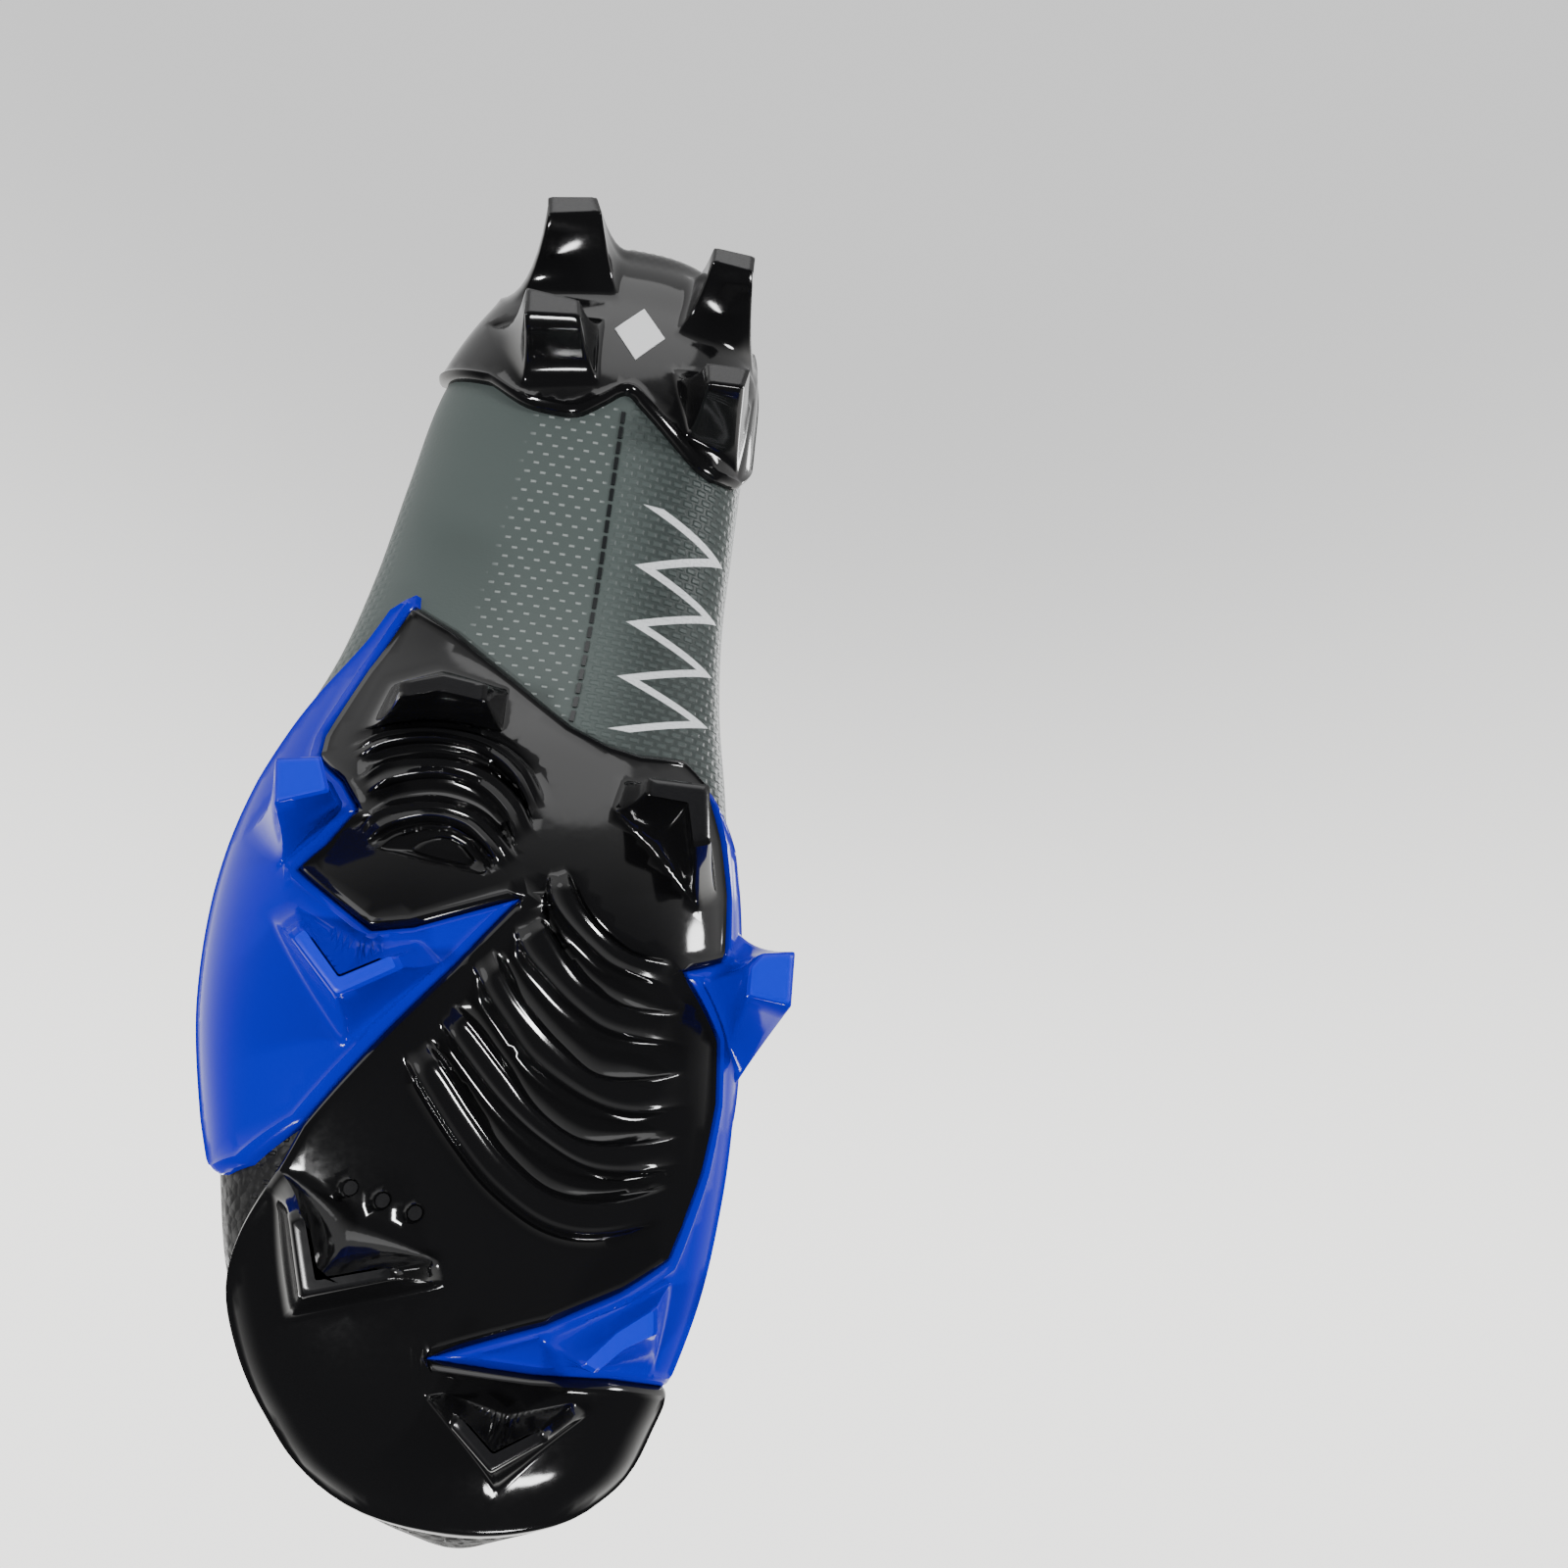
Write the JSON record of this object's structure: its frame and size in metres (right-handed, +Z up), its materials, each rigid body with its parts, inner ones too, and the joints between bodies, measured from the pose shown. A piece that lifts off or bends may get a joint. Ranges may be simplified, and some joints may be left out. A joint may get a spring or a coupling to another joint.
{
  "type": "soccer cleat",
  "caption": "Left soccer cleat with split moulded stud plates, a one-piece textured upper, padded collar, tongue, lace and a forefoot that flexes.",
  "frame": {"origin": "centre of the shoe's bounding box, on the ground plane that the stud tips rest on", "axes": "+Z up from the stud tips, +Y from toe to heel, +X towards the lateral (outer) side"},
  "size_m": [0.11, 0.283, 0.105],
  "materials": {
    "black_plate": "gloss",
    "blue_plate": "gloss",
    "white_trim": "gloss",
    "upper_skin": "satin",
    "toe_skin": "satin",
    "dark_thread": "matte",
    "dark_trim": "satin",
    "dark_fabric": "matte",
    "foam": "matte",
    "stiffener": "matte",
    "board": "matte",
    "air_film": "gloss",
    "liner_fabric": "matte",
    "lace_cord": "matte"
  },
  "bodies": {
    "shoe": {"heel_plate": "black_plate", "heel_inlay": "white_trim", "forefoot_plate": "black_plate", "lateral_cage": "blue_plate", "medial_rail": "blue_plate", "upper_shell": "upper_skin", "arch_stitches": "dark_thread", "lateral_eyestay": "dark_trim", "medial_eyestay": "dark_trim", "collar_binding": "dark_fabric", "collar_padding": "foam", "heel_counter": "stiffener", "heel_lining": "dark_fabric", "tongue": "dark_fabric", "strobel_board": "board", "heel_foam": "foam", "forefoot_foam": "foam", "air_unit": "air_film", "sockliner": "liner_fabric", "pull_tab": "dark_fabric", "lace": "lace_cord"},
    "toe": {"toe_plate": "black_plate", "toe_wedge": "blue_plate", "toe_box": "toe_skin", "toe_puff": "stiffener"}
  },
  "joints": [
    {"name": "forefoot_flex", "type": "hinge", "parent": "shoe", "child": "toe", "pos_m": [0, -0.059, 0.014], "axis": [-1, 0, 0], "range_deg": [0, 25], "stiffness_Nm_per_rad": 4, "deforming": ["forefoot_plate", "lateral_cage", "medial_rail", "upper_shell", "strobel_board", "forefoot_foam", "air_unit", "sockliner"]}
  ]
}
